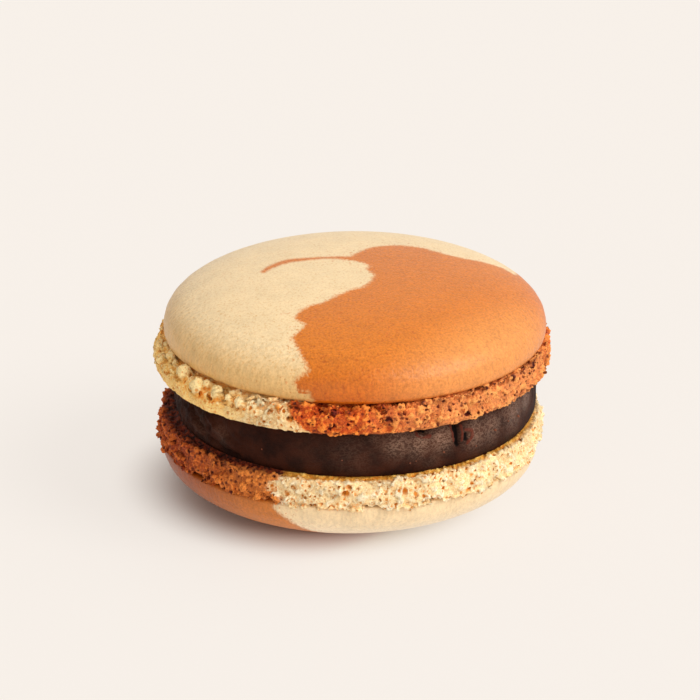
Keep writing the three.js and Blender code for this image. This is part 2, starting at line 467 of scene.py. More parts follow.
def on_side(pixels, radius, centre_x):
    """Angle and height at which each pixel's sight line meets an upright cylinder: the nearer root
    of the quadratic for its distance from the cylinder's axis."""
    eye, lines = sight_lines(pixels)
    ex, ey = eye[0] - centre_x, eye[1]
    a = lines[:, 0] ** 2 + lines[:, 1] ** 2
    b = ex * lines[:, 0] + ey * lines[:, 1]
    c = ex ** 2 + ey ** 2 - radius ** 2
    travel = (-b - np.sqrt(np.clip(b ** 2 - a * c, 0.0, None))) / a
    x, y = ex + travel * lines[:, 0], ey + travel * lines[:, 1]
    return np.arctan2(y, x), eye[2] + travel * lines[:, 2]


# Marbling: where caramel meets cream. Each edge runs from the front to the back

UPPER_EDGE_PIXELS = [
    (313, 401), (308, 392), (298, 389.5), (294.5, 383), (298, 378), (308, 372.5), (307.5, 366.5),
    (302, 357), (297, 347), (291.5, 339), (297, 333), (305, 324), (294.5, 318), (306, 307),
    (322, 303), (332, 298), (350, 290), (364, 286), (374, 276), (367.5, 270), (367.5, 264.5),
    (348, 260), (328, 258.4), (348, 257), (359, 252), (373, 247), (399, 245.4), (423, 248),
    (441, 253), (461, 258), (482, 262), (502, 268), (515, 275)]
UPPER_TAIL_PIXELS = [(262, 273), (271, 267), (287, 261.4), (304, 259.4), (327, 257.7), (352, 258)]
UPPER_TAIL_HALF_WIDTHS = [0.30, 0.48, 0.62, 0.50, 0.30, 0.60]
UPPER_FOOT_PIXELS = [(309, 433), (302, 428), (292, 418), (286, 407)]
UPPER_BACK_ANGLE = math.radians(28)

LOWER_EDGE_PIXELS = [(276, 501), (275, 509), (288, 519), (303, 528)]
LOWER_UNDER_PLAN = [
    (2.0, -14.5), (5.5, -9.0), (3.5, -2.0), (-3.0, 2.5), (-6.5, 8.0), (-8.4, 11.6), (-7.0, 14.4),
    (-9.6, 16.4)]
LOWER_FOOT_PIXELS = [(278, 472), (268.5, 482), (267, 492), (281, 498)]
LOWER_BACK_ANGLE = math.radians(118)
BACK_WAVE = 0.05
CURVE_STEPS = 5
ARC_POINTS = 60
ARC_RADII = 1.6
RIM_NEAR = 0.985


def distance_to_path(points, path):
    """Distance from each point to a path, and where on it the nearest place is, counted in pieces:
    to each straight piece of the path by dropping a perpendicular."""
    best = np.full(len(points), np.inf)
    place = np.zeros(len(points))
    for n, (start, end) in enumerate(zip(path[:-1], path[1:])):
        along = end - start
        t = np.clip(((points - start) @ along) / max(along @ along, 1e-12), 0.0, 1.0)
        gap = np.linalg.norm(points - start - t[:, None] * along, axis=1)
        nearer = gap < best
        best = np.where(nearer, gap, best)
        place = np.where(nearer, n + t, place)
    return best, place


def inside_outline(points, outline):
    """Whether each point, seen in plan, is inside a closed outline: a line from it along +X
    crosses the outline an odd number of times."""
    x, y = points[:, 0], points[:, 1]
    crossed = np.zeros(len(points), bool)
    for (x0, y0), (x1, y1) in zip(outline, np.roll(outline, -1, axis=0)):
        if y0 != y1:
            spans = (y0 > y) != (y1 > y)
            crossed ^= spans & (x < x0 + (y - y0) * (x1 - x0) / (y1 - y0))
    return crossed


def dome_height(shell, x, y):
    """Height of the cap over its base at a place in the shell's own plan: the superellipse."""
    outward = np.clip(np.hypot(x - shell.cap_shift, y) / shell.cap_radius, 0.0, 1.0)
    upward = (1.0 - outward ** CAP_SQUARENESS) ** (1.0 / CAP_SQUARENESS)
    return shell.widest + shell.cap_rise * upward


def unfolded(points, shell):
    """The cap's plan with its tucked edge folded out: below the widest ring, places lie as far
    outside it as they lie under it."""
    own = shell.to_own(points)
    x, y = own[:, 0] - shell.cap_shift, own[:, 1]
    outward = np.maximum(np.hypot(x, y), 1e-9)
    folded = shell.cap_radius + shell.widest - own[:, 2]
    stretch = np.where(own[:, 2] < shell.widest, folded, outward) / outward
    return points[:, :2] * stretch[:, None]


def cap_edge(shell, pixels, plan, back_angle):
    """The marbling's edge over the cap, on the macaron: through the pixels, then through hidden
    places given in plan, to the cap's rim at the back."""
    seen = shell.to_world(on_shell(pixels, shell))
    rim = shell.cap_radius * np.array([[math.cos(back_angle), math.sin(back_angle)]])
    hidden = np.vstack([np.reshape(plan, (-1, 2)), RIM_NEAR * rim, rim])
    own = shell.to_own(np.column_stack([hidden, np.zeros(len(hidden))]))
    own[:, 2] = dome_height(shell, own[:, 0], own[:, 1])
    return smooth_curve(np.vstack([seen, shell.to_world(own)]), CURVE_STEPS)


def cap_marbling(points, shell, edge):
    """Distance in millimetres into the caramel over the cap, negative in the cream. The caramel is
    where the edge, led on at both ends, is closed well outside the cap by an arc."""
    gap = distance_to_path(points, edge)[0]
    plan = unfolded(edge, shell)
    start, end = (math.atan2(p[1], p[0]) for p in (plan[0], plan[-1]))
    span = (shell.side * (end - start)) % TURN
    around = end - shell.side * np.linspace(0.0, 1.0, ARC_POINTS) * span
    outer = ARC_RADII * shell.cap_radius * np.stack([np.cos(around), np.sin(around)], axis=1)
    inside = inside_outline(unfolded(points, shell), np.vstack([plan, outer]))
    return np.where(inside, gap, -gap)


def foot_marbling(angle, height, shell, pixels, back_angle):
    """Distance in millimetres into the caramel round the foot, negative in the cream. The caramel
    runs from the slanting edge through the pixels, round to the waving edge at the back."""
    seen_angle, seen_z = on_side(pixels, shell.foot_radius, shell.centre_x)
    seen_height = np.abs(seen_z - shell.base_z)
    order = np.argsort(seen_height)
    edge = np.interp(height, seen_height[order], seen_angle[order])
    into = np.mod(shell.side * (angle - edge), TURN)
    waving = back_angle + BACK_WAVE * np.sin(2.0 * height)
    length = np.mod(shell.side * (waving - edge), TURN)
    inner = np.minimum(into, length - into)
    outer = np.minimum(into - length, TURN - into)
    return shell.foot_radius * np.where(into < length, inner, -outer)


# Shells

def foot_outline(shell):
    """Places [radius, z] from the edge of the base up the side of the foot to the crevice."""
    groove = shell.cap_radius - CREVICE_DEPTH
    foot, full, high = shell.foot_radius, shell.foot_fullest, shell.foot_height
    corners = [
        (shell.base_radius, 0.0), (shell.base_radius + 0.3, 0.25), (foot - 0.1, (full - 0.22) * high),
        (foot, full * high), (foot - 0.4, (full + 0.22) * high), (groove + 0.7, 0.97 * high),
        (groove, high)]
    return evenly(smooth_curve(corners, 24), FOOT_ROWS + 1)


def cap_outline(shell):
    """Places [radius, z, way from the crevice] over the cap's tucked edge to its crown. The dome is
    a superellipse, with its crown pressed flat."""
    t = np.linspace(0.0, 0.5 * math.pi, 40)
    power = 2.0 / CAP_SQUARENESS
    dome = np.stack([shell.cap_radius * np.cos(t) ** power,
                     shell.widest + shell.cap_rise * np.sin(t) ** power], axis=1)
    edge = [
        (shell.cap_radius - CREVICE_DEPTH, shell.foot_height),
        (shell.cap_radius - CAP_TUCK, shell.foot_height + 0.15 * shell.cap_skirt),
        (shell.cap_radius - 0.2 * CAP_TUCK, shell.foot_height + 0.45 * shell.cap_skirt)]
    curve = smooth_curve(np.vstack([edge, dome]), 8)
    along = length_along(curve)
    rows = np.concatenate([EDGE_STEP * np.arange(1, EDGE_ROWS + 1),
                           np.linspace(EDGE_STEP * EDGE_ROWS, along[-1], DOME_ROWS + 1)[1:]])
    places = np.column_stack([between_rows(curve, along, rows), rows])
    places[:, 1] = np.minimum(places[:, 1], shell.top)
    return places


def ring_counts(radii):
    """Points for each ring of the dome from its edge inward: half of the foot's, and half again
    each time that the radius has halved, down to the one point of the crown."""
    counts = []
    count = FOOT_POINTS // 2
    for radius in radii[:-1]:
        if count > 24 and radius < 0.55 * radii[0] * count / (FOOT_POINTS // 2):
            count //= 2
        counts.append(count)
    return counts + [1]


def shell_rings(shell):
    """Rings of the shell from the middle of its base to its crown, as counts, radii, heights, and
    how far up the foot each is: below 0 on the base and over 1 on the cap."""
    base_radii = np.linspace(BASE_FROM, shell.base_radius, BASE_ROWS + 1)[:-1]
    foot, cap = foot_outline(shell), cap_outline(shell)
    counts = (INNER_POINTS + [FOOT_POINTS] * (BASE_ROWS + FOOT_ROWS + 1 + EDGE_ROWS)
              + ring_counts(cap[EDGE_ROWS:, 0]))
    radii = np.concatenate([INNER_RADII, base_radii, foot[:, 0], cap[:, 0]])
    heights = np.concatenate([np.zeros(len(INNER_RADII) + BASE_ROWS), foot[:, 1], cap[:, 1]])
    climb = np.concatenate([
        -np.ones(len(INNER_RADII)), np.linspace(-1.0, 0.0, BASE_ROWS + 1)[:-1],
        np.linspace(0.0, 1.0, FOOT_ROWS + 1), 1.0 + cap[:, 2] / (EDGE_ROWS * EDGE_STEP)])
    return counts, radii, heights, climb


def shell_surface(shell):
    """The shell as its solid has it, in its own frame: points, triangles, each point's angle, and
    how far up the foot it is. Lumps are pushed out along the outline's normals."""
    counts, radii, heights, climb = shell_rings(shell)
    angle = ring_angles(counts)
    angle = angle - FRONT_CROWDING * np.sin(angle - shell.side * FRONT)
    r, z, up = (np.repeat(values, counts) for values in (radii, heights, climb))
    on_foot = (up >= 0.0) & (up <= 1.0)
    outline = foot_outline(shell)
    slope = np.gradient(outline, axis=0)
    slope /= np.linalg.norm(slope, axis=1)[:, None]
    out_z, out_r = between_rows(slope, np.linspace(0.0, 1.0, FOOT_ROWS + 1), up).T
    share = band(0.0, LUMP_FADE, 1.0 - LUMP_FADE, 1.0, up)
    rise = np.clip(up, 0.0, 1.0) * length_along(outline)[-1]
    push = np.where(on_foot, share * lump_height(angle, rise, shell), 0.0)
    waver = np.where(up > 1.0, CAP_WAVER * slow_wave(angle, shell.cap_seed),
                     FOOT_WAVER * slow_wave(angle, shell.foot_seed))
    r = r + (out_r * push + waver) * (r > 0.0)
    z = np.clip(z - out_z * push, 0.0, None)
    shift = np.where(up > 1.0, shell.cap_shift, 0.0)
    points = np.stack([shift + r * np.cos(angle), r * np.sin(angle), z], axis=1)
    return points, skin(counts), angle, up


def press(points, triangles, part, amount):
    """Moves the points of one part along their normals by the given amounts."""
    moved = points.copy()
    moved[part] += normals_of(points, triangles)[part] * amount[:, None]
    return moved


# Large single balls of foam on each foot: pixels, and radius in millimetres
LOWER_BALLS = [
    (163, 398, 0.60), (161, 412, 0.65), (164, 428, 0.65), (170, 443, 0.60), (180, 456, 0.60)]
UPPER_BALLS = [
    (159, 343, 0.55), (165, 346, 0.60), (161, 360, 0.75), (170, 357, 0.70), (175, 364, 0.55),
    (182, 372, 1.00), (196, 387, 1.05), (207, 385, 0.60), (216, 393, 0.90), (228, 398, 0.60),
    (239, 402, 0.75), (262, 403, 0.65)]


def single_balls(points, normals, shell, balls):
    """How far single balls stand out, as for curds: each has its centre a little inside the
    surface, behind its pixel. Round each ball the surface is sunk a little."""
    world = shell.to_world(points)
    eye = camera_axes()[0]
    hidden = (shell.to_world(points + normals) - world) @ eye < 0.0
    places = to_pixels(world)
    height = np.zeros(len(points))
    for x, y, radius in balls:
        spot = points[np.argmin(np.hypot(places[:, 0] - x, places[:, 1] - y) + OUT_OF_SIGHT * hidden)]
        inward = spot * np.array([1.0, 1.0, 0.0]) / math.hypot(spot[0], spot[1])
        away = points - (spot - BALL_SET_IN * radius * inward)
        far = np.linalg.norm(away, axis=1) / radius
        above = np.clip((away * normals).sum(axis=1), 0.0, None)
        stand = np.sqrt(np.clip(radius ** 2 * (1.0 - far ** 2), 0.0, None) + above ** 2) - above
        sink = MOAT_DEPTH * radius * np.exp(-((far - MOAT_AT) / MOAT_WIDTH) ** 2)
        height = np.where(far < 1.0, np.maximum(height, stand), height - sink)
    return height


def open_crevice(here, climb, smooth_side, shell):
    """How each point of the foot moves for an uneven crevice under the cap: where there is a gap the
    crevice goes farther in, and elsewhere the brim comes out and up. The upper shell's lip droops
    here and there. Gives the moves, and how deep each point lies in the crevice."""
    seed = shell.lump_seed * 10
    uneven = smooth_step(0.0, 0.4, soft_noise(here * np.array([1.0, 1.0, 0.4]), 1.1, seed))
    gap = np.maximum(uneven, 0.8 * smooth_side)
    slot = band(0.88, 1.0, 1.05, 1.25, climb)
    brim = band(0.6, 0.85, 0.98, 1.08, climb)
    outward = here * np.array([1.0, 1.0, 0.0]) / np.hypot(here[:, 0], here[:, 1])[:, None]
    moves = outward * (BRIM_REACH * brim * (1.0 - gap) - CREVICE_REACH * slot * gap)[:, None]
    moves[:, 2] = BRIM_LIFT * brim * (1.0 - gap)
    lip = (climb > -0.1) * (1.0 - smooth_step(0.0, 0.14, climb)) * (shell.side > 0)
    moves[:, 2] += LIP_LIFT * lip * smooth_step(-0.5, 0.6, soft_noise(here, 0.6, seed + 1))
    return moves, slot * gap


def bake_foot(points, triangles, angle, up, shell, balls):
    """The foamy foot: an uneven crevice under the cap, single balls, soft curds, crumb, and open
    bubbles, large and small, also on the outer part of the base. Gives the new points, the relief,
    how far each point stands out or lies in, and how deep it lies in a bubble or in the crevice."""
    part = (up > -1.0) & (up < 1.5)
    climb = up[part]
    seed = shell.lump_seed * 10
    world = (shell.side * angle[part]) % TURN
    smooth_side = band(*SMOOTH_STRETCH, world) * (shell.side > 0)
    skirt = smooth_side * (1.0 - smooth_step(0.25, 0.42, climb))
    open_base = smooth_step(-0.97, -0.8, climb) * (climb < 0.05) * (shell.side < 0)
    body = np.maximum(band(-0.03, 0.04, 1.02, 1.2, climb), 0.9 * open_base)
    foam = body * (1.0 - 0.9 * skirt)
    here = points[part]
    moves, crevice = open_crevice(here, climb, smooth_side, shell)
    points = points.copy()
    points[part] += moves
    relief = np.zeros(len(here))

    def layer(make, strength, kept=1.0):
        """Pushes one layer out along the last layer's normals, and adds it to the relief."""
        nonlocal points, relief
        made = make(points[part], normals_of(points, triangles)[part])
        points = press(points, triangles, part, made * strength)
        relief += made * strength * kept
        return made

    ball = layer(lambda p, n: single_balls(p, n, shell, balls), smooth_step(0.05, 0.2, climb), 0.3)
    quiet = 1.0 - 0.75 * (ball > 0.05)
    layer(lambda p, n: curds(p, n, CURDS, seed + 2), CURDS.strength * foam * quiet)
    layer(lambda p, n: curds(p, n, CRUMB, seed + 3), CRUMB.strength * foam * (0.5 + 0.5 * quiet))
    cave = layer(lambda p, n: bubbles(p, n, CAVES, seed + 4), -CAVES.strength * foam * quiet)
    pore = layer(lambda p, n: bubbles(p, n, PORES, seed + 5),
                 -PORES.strength * body * (1.0 - 0.8 * skirt) * (0.4 + 0.6 * quiet))
    layer(lambda p, n: soft_noise(p, GRAIN_SIZE, seed + 6), GRAIN_HEIGHT * body)
    ribs = np.column_stack([RIBS_PER_RADIAN * world, RIB_BEND * here[:, 2], 0.0 * world])
    layer(lambda p, n: soft_noise(ribs, 1.0, seed + 7), RIB_HEIGHT * skirt * body)
    stands, hollow = np.zeros((2, len(points)))
    stands[part] = relief - foam * relief[foam > 0.8].mean()
    # hollow only colours the crust: it sets painted shade in bubbles and in the crevice under the cap
    hollow[part] = np.maximum(foam * quiet * np.maximum(0.5 * cave, 1.15 * pore), 0.14 * crevice)
    return points, stands, hollow


def beside_tail(world, on_cap, path, half_widths):
    """How far each point lies to the left of the tail's path, and half the tail's width there, which
    is below 0 past both ends and off the cap."""
    gap, place = distance_to_path(world, path)
    steps = np.arange(len(path))
    heading = between_rows(np.gradient(path, axis=0), steps, place)
    offset = world - between_rows(path, steps, place)
    left = heading[:, 0] * offset[:, 1] - heading[:, 1] * offset[:, 0]
    past_ends = (place <= 0.0) | (place >= len(path) - 1.0)
    width = np.where(past_ends, -gap, np.interp(place, steps, half_widths))
    return np.where(left < 0.0, -gap, gap), np.where(on_cap, width, -FAR_FROM_TAIL)


def make_shell(name, shell, edge, foot_pixels, back_angle, balls, tail=None):
    """One shell on the macaron, with its marbling and relief kept at each point."""
    points, triangles, angle, up = shell_surface(shell)
    points, relief, hollow = bake_foot(points, triangles, angle, up, shell, balls)
    lowest = np.where((shell.side < 0) & (up > -0.9), -BASE_SAG, 0.0)
    points[:, 2] = np.clip(points[:, 2], lowest, shell.top)
    world = shell.to_world(points)
    height = np.abs(world[:, 2] - shell.base_z)
    marbling = np.where(up > 1.0, cap_marbling(world, shell, edge),
                        foot_marbling(shell.side * angle, height, shell, foot_pixels, back_angle))
    side, width = FAR_FROM_TAIL * np.ones(len(points)), -FAR_FROM_TAIL * np.ones(len(points))
    if tail is not None:
        side, width = beside_tail(world, up > 1.0, *tail)
    return build_mesh(name, world, triangles, {
        "marbling": marbling, "relief": relief, "hollow": hollow, "climb": np.clip(up, -1.0, 6.0),
        "tail_side": side, "tail_width": width})


# Ganache

def ganache_surface():
    """Points, triangles and angles of the ganache: a disc whose side bulges as a superellipse above
    and below its fullest ring, pressed a little into both bases."""
    low, high = LOWER.base_z, UPPER.base_z
    height = high - low
    z = 0.5 * height * (1.0 - np.cos(math.pi * np.arange(GANACHE_ROWS + 1) / GANACHE_ROWS))
    fullest = GANACHE_FULLEST * height
    below = z < fullest
    contact = np.where(below, GANACHE_BOTTOM_RADIUS, GANACHE_TOP_RADIUS)
    away = np.where(below, (fullest - z) / fullest, (z - fullest) / (height - fullest))
    side = contact + (GANACHE_RADIUS - contact) * (1.0 - away ** BULGE_ROUNDNESS) ** BULGE_FULLNESS
    inner = len(GANACHE_INNER_RADII)
    counts = (GANACHE_INNER_POINTS + [GANACHE_POINTS] * (GANACHE_ROWS + 1)
              + GANACHE_INNER_POINTS[::-1])
    radii = np.concatenate([GANACHE_INNER_RADII, side, GANACHE_INNER_RADII[::-1]])
    heights = low + np.concatenate([
        np.full(inner, -GANACHE_BITE), z, np.full(inner, height + GANACHE_BITE)])
    heights[inner] -= GANACHE_BITE
    heights[-inner - 1] += GANACHE_BITE
    angle = ring_angles(counts)
    r, z = (np.repeat(values, counts) for values in (radii, heights))
    r = r + GANACHE_WAVER * slow_wave(angle, GANACHE_SEED) * (r > GANACHE_SIDE_FROM)
    points = np.stack([GANACHE_CENTRE_X + r * np.cos(angle), r * np.sin(angle), z], axis=1)
    return points, skin(counts), angle


# Marks on the ganache's side: pixels of a path, half width and height in millimetres
GANACHE_MARKS = [
    ([(455, 423), (456, 429), (457, 434), (457, 440), (458, 445)], 0.36, -0.50),
    ([(452, 426), (453, 434), (454, 441)], 0.16, 0.20),
    ([(461, 426), (462, 433), (461, 441)], 0.20, 0.20),
    ([(466, 434), (466, 439)], 0.26, -0.30),
    ([(465, 430), (471, 430), (473, 434), (471, 438), (467, 443)], 0.18, 0.26),
    ([(417, 430), (424, 432)], 0.29, -0.40),
    ([(415, 430), (417, 436), (423, 438), (430, 436)], 0.18, 0.22),
    ([(190, 407), (197, 420), (208, 436), (222, 449), (236, 458)], 0.42, -0.58),
    ([(207, 415), (216, 427), (226, 438), (238, 449)], 0.46, 0.36),
    ([(228, 428), (240, 440), (254, 448)], 0.42, 0.18),
    ([(184, 404), (191, 417), (200, 432)], 0.38, 0.24),
    ([(189, 421), (193, 423)], 0.35, 0.18),
    ([(200, 430), (204, 432)], 0.35, 0.18),
    ([(362, 452), (378, 446), (398, 441), (415, 441)], 0.35, 0.10),
    ([(470, 449), (488, 443), (505, 434)], 0.35, 0.08),
    ([(303, 459), (318, 462), (337, 465)], 0.30, 0.08),
]


# Painted highlights on the ganache's skin, where the light catches it: pixel, radius in millimetres and
# strength
GANACHE_HIGHLIGHTS = [
    (200, 428, 1.5, 0.16), (222, 434, 1.2, 0.22), (315, 450, 3.0, 0.06), (352, 450, 3.0, 0.16),
    (378, 438, 1.3, 0.32), (398, 442, 1.8, 0.80), (420, 443, 1.7, 0.85), (442, 438, 1.6, 1.0),
    (432, 455, 1.8, 0.2), (476, 432, 1.9, 0.75), (492, 426, 1.9, 0.65), (514, 408, 2.4, 0.7),
    (526, 398, 1.6, 0.7)]

# Unevenness of the ganache's side: height and size in millimetres, and seed
GANACHE_SWELLS = [(0.10, 3.2, 71), (0.05, 1.3, 72)]
GANACHE_CLODS = [(0.26, 1.1, 75), (0.12, 0.45, 76)]  # on the left only
GANACHE_GRAIN = [(0.012, 0.3, 74)]
MARK_JAGS = [(0.16, 0.45, 77)]

# Narrow grooves get painted shade and narrow ridges are redder, where they are deep or high enough
SUNK_NARROWER, TORN_NARROWER = 0.38, 0.3
MARK_HEIGHT = 0.12


def on_ganache(pixels):
    """Angle, from 0 to a turn, and height of the places on the ganache's side behind the pixels."""
    angle, z = on_side(pixels, GANACHE_RADIUS, GANACHE_CENTRE_X)
    return np.mod(angle, TURN), z


def layered_noise(points, layers):
    """The sum of layers of soft noise."""
    return sum(height * soft_noise(points, size, seed) for height, size, seed in layers)


def make_ganache():
    """The ganache, with soft unevenness, fine wrinkles, and the marks that the photograph shows,
    each a smooth groove or ridge along its path, and round patches of painted highlight."""
    points, triangles, angle = ganache_surface()
    part = np.hypot(points[:, 0] - GANACHE_CENTRE_X, points[:, 1]) > GANACHE_SIDE_FROM
    here = points[part]
    z = here[:, 2]
    between = (z - LOWER.base_z) / (UPPER.base_z - LOWER.base_z)
    body = band(0.0, 0.12, 0.88, 1.0, between)
    rugged = 1.0 - smooth_step(-17.0, -11.0, here[:, 0])
    amount = layered_noise(here, GANACHE_SWELLS) + rugged * layered_noise(here, GANACHE_CLODS)
    leaning = (here + z[:, None] * WRINKLE_LEAN) * np.array([1.0, 1.0, 0.35])
    amount += WRINKLE_HEIGHT * soft_noise(leaning, 0.55, 73) + layered_noise(here, GANACHE_GRAIN)
    arc = np.stack([GANACHE_RADIUS * angle[part], z], axis=1)
    sunk, torn = np.zeros((2, len(arc)))
    jagged = layered_noise(here, MARK_JAGS)
    for pixels, half_width, height in GANACHE_MARKS:
        mark_angle, mark_z = on_ganache(pixels)
        gap = distance_to_path(arc, np.stack([GANACHE_RADIUS * mark_angle, mark_z], axis=1))[0]
        near = np.exp(-((gap + jagged) / half_width) ** 2)
        amount += height * near
        # narrow, deep grooves get painted shade
        if half_width < SUNK_NARROWER and height < -MARK_HEIGHT:
            sunk = np.maximum(sunk, near)
        elif half_width < TORN_NARROWER and height > MARK_HEIGHT:
            torn = np.maximum(torn, near)
    points = press(points, triangles, part, amount * body)
    # painted highlights on the crests of the clods on the left
    painted_glint = 0.05 * rugged * smooth_step(0.1, 0.6, soft_noise(here, 1.0, 75))
    painted_highlight = np.array(GANACHE_HIGHLIGHTS)
    for at, level, radius, strength in zip(*on_ganache(painted_highlight[:, :2]), *painted_highlight[:, 2:].T):
        gap = np.hypot(arc[:, 0] - GANACHE_RADIUS * at, arc[:, 1] - level)
        painted_glint = np.maximum(painted_glint, strength * np.exp(-(gap / radius) ** 2))
    attributes = {}
    for name, values in (("painted_highlight", painted_glint), ("sunk", sunk), ("torn", torn)):
        attributes[name] = np.zeros(len(points))
        attributes[name][part] = values
    return build_mesh("ganache_filling", points, triangles, attributes)


# Crumbs on the ganache: pixels, and each crumb's radius in millimetres
CRUMB_STANDS = 0.02
CRUMB_PIXELS = [
    (342, 460, 0.13), (444, 452, 0.16), (495, 430, 0.18), (518, 416, 0.16), (410, 463, 0.10),
    (416, 461, 0.09), (476, 446, 0.10), (508, 421, 0.09), (262, 449, 0.10), (391, 459, 0.07)]


def make_crumbs():
    """Tiny crumbs of meringue stuck to the ganache's side, each a ball of five rings whose points
    are drawn in or out by chance."""
    counts = [1, 6, 8, 6, 1]
    latitude = np.repeat(np.linspace(-0.5, 0.5, len(counts)) * math.pi, counts)
    longitude = np.concatenate([TURN * (np.arange(count) + 0.5) / count for count in counts])
    ball = np.stack([np.cos(latitude) * np.cos(longitude), np.cos(latitude) * np.sin(longitude),
                     np.sin(latitude)], axis=1)
    faces = skin(counts)
    crumbs = []
    given = np.array(CRUMB_PIXELS)
    for n, (angle, z, radius) in enumerate(zip(*on_ganache(given[:, :2]), given[:, 2])):
        reach = GANACHE_RADIUS + CRUMB_STANDS
        centre = np.array([GANACHE_CENTRE_X + reach * math.cos(angle), reach * math.sin(angle), z])
        size = radius * (0.75 + 0.5 * chance(np.arange(len(ball)), n, 91))
        crumbs.append(centre + ball * size[:, None])
    triangles = np.vstack([faces + n * len(ball) for n in range(len(crumbs))])
    return build_mesh("ganache_crumbs", np.vstack(crumbs), triangles)


# Finishes

def shade(red, green, blue):
    """A colour given as on a screen, 0 to 255, as the light that it sends back."""
    def lit(value):
        value /= 255.0
        return value / 12.92 if value <= 0.04045 else ((value + 0.055) / 1.055) ** 2.4
    return (lit(red), lit(green), lit(blue), 1.0)


class Value:
    """A number that changes over the surface, from a node. Adding, subtracting, multiplying or
    dividing makes the node that does it."""

    def __init__(self, recipe, socket):
        self.recipe = recipe
        self.socket = socket

    def __add__(self, other):
        return self.recipe.math("ADD", self, other)

    def __sub__(self, other):
        return self.recipe.math("SUBTRACT", self, other)

    def __rsub__(self, other):
        return self.recipe.math("SUBTRACT", other, self)

    def __mul__(self, other):
        return self.recipe.math("MULTIPLY", self, other)

    def __truediv__(self, other):
        return self.recipe.math("DIVIDE", self, other)


class Recipe:
    """Adds nodes to a material's or a group's tree. What goes into a node can be a number, a colour,
    a Value or another node's output."""

    def __init__(self, tree):
        self.tree = tree

    def feed(self, socket, given):
        """Gives a node's input what it takes: a link, or a number or colour of its own."""
        given = given.socket if isinstance(given, Value) else given
        if isinstance(given, bpy.types.NodeSocket):
            self.tree.links.new(given, socket)
        else:
            socket.default_value = given

    def node(self, kind, inputs, **settings):
        """A new node with its settings and inputs."""
        made = self.tree.nodes.new(kind)
        for key, value in settings.items():
            setattr(made, key, value)
        for key, value in inputs.items():
            self.feed(made.inputs[key], value)
        return made

    def value(self, kind, inputs, output=0, **settings):
        """One number that a new node puts out."""
        return Value(self, self.node(kind, inputs, **settings).outputs[output])

    def math(self, operation, a, b=0.0):
        """What one step of arithmetic makes of a and b."""
        return self.value("ShaderNodeMath", {0: a, 1: b}, operation=operation)

    def most(self, a, b):
        """The larger of a and b."""
        return self.math("MAXIMUM", a, b)

    def step(self, x, low, high):
        """0 below low, 1 above high, and smooth between."""
        return self.value("ShaderNodeMapRange", {0: x, 1: low, 2: high, 3: 0.0, 4: 1.0},
                          interpolation_type="SMOOTHSTEP")

    def scale(self, x, low, high, to_low, to_high):
        """to_low where x is low, to_high where it is high, and evenly between."""
        return self.value("ShaderNodeMapRange", {0: x, 1: low, 2: high, 3: to_low, 4: to_high})

    def mix(self, share, a, b, blend="MIX"):
        """Colour a where share is 0 and b where it is 1."""
        return self.node("ShaderNodeMix", {0: share, 6: a, 7: b}, data_type="RGBA",
                         blend_type=blend).outputs[2]

    def tinted(self, colour, tint):
        """A colour times a tint, which says what share of red, green and blue it keeps."""
        return self.mix(1.0, colour, tint, "MULTIPLY")

    def attribute(self, name):
        """The number that each point keeps under this name."""
        return self.value("ShaderNodeAttribute", {}, "Fac", attribute_name=name)

    def place(self):
        """The place on the object, from its origin."""
        return self.node("ShaderNodeTexCoord", {}).outputs["Object"]

    def stretched(self, place, scale):
        """A place times a scale along each axis; a scale below 1 draws features out."""
        return self.node("ShaderNodeMapping", {"Vector": place, "Scale": scale}).outputs[0]

    def along(self, place, side):
        """How far a place lies along a direction."""
        return self.value("ShaderNodeVectorMath", {0: place, 1: side}, "Value", operation="DOT_PRODUCT")

    def noise(self, place, size, detail=2.0, roughness=0.5):
        """Noise with features of the given size in millimetres, from 0 to 1."""
        return self.value("ShaderNodeTexNoise", {
            "Vector": place, "Scale": 1.0 / (size * MM), "Detail": detail, "Roughness": roughness})

    def cells(self, place, size):
        """Distance to the nearest of many scattered points, in shares of their spacing."""
        return self.value("ShaderNodeTexVoronoi", {"Vector": place, "Scale": 1.0 / (size * MM)})


# The crust. Each shell has a colour for each part of the cream and of the caramel. The pores' colour
# is painted shade, the crests' is partly painted highlight, and the last is painted highlight for the lit
# side
CRUST_SHINE = 0.38
CRUST_PARTS = ("Cap", "Foot", "Crest", "Pores", "Highlight")
UPPER_CRUST = {
    "Cream": [(240, 212, 165), (255, 205, 116), (255, 224, 158), (222, 130, 32), (255, 236, 196)],
    "Caramel": [(210, 118, 25), (208, 82, 6), (252, 144, 50), (84, 14, 0), (250, 180, 106)]}
LOWER_CRUST = {
    "Cream": [(246, 228, 201), (255, 211, 128), (255, 236, 190), (224, 134, 36), (255, 236, 200)],
    "Caramel": [(160, 81, 3), (166, 64, 5), (216, 108, 33), (78, 17, 0), (255, 162, 70)]}
# Toast and painted shade at the cap's edge
TOAST_AND_SHADE_TINT = (0.87, 0.68, 0.40, 1.0)
FLECK_TINT = (0.84, 0.62, 0.42, 1.0)
ALMOND_TINT = (0.94, 0.74, 0.46, 1.0)
# Painted shade in the foot's hollows, for cream and for caramel
SUNK_CREAM_TINT = (1.0, 0.68, 0.28, 1.0)
SUNK_CARAMEL_TINT = (0.62, 0.32, 0.12, 1.0)
# Painted shade on the base where the shells meet the ganache, darker and less dark in clods
BASE_SHADE_CREAM_TINTS = (0.72, 0.44, 0.12, 1.0), (0.90, 0.67, 0.28, 1.0)
BASE_SHADE_CARAMEL_TINTS = (0.10, 0.07, 0.06, 1.0), (0.46, 0.34, 0.28, 1.0)
LIT_SIDE = (0.75, -0.66, 0.0)  # painted highlight: towards this lit side the crust is painted paler
CREAM_FOOT_LIT_SHIFT = 16.0 * MM
CAP_PAINTED_LIGHT = 0.42
FOOT_PAINTED_LIGHT = 0.62
CAP_ROUGHNESS = 0.38
FOOT_ROUGHNESS = 0.72

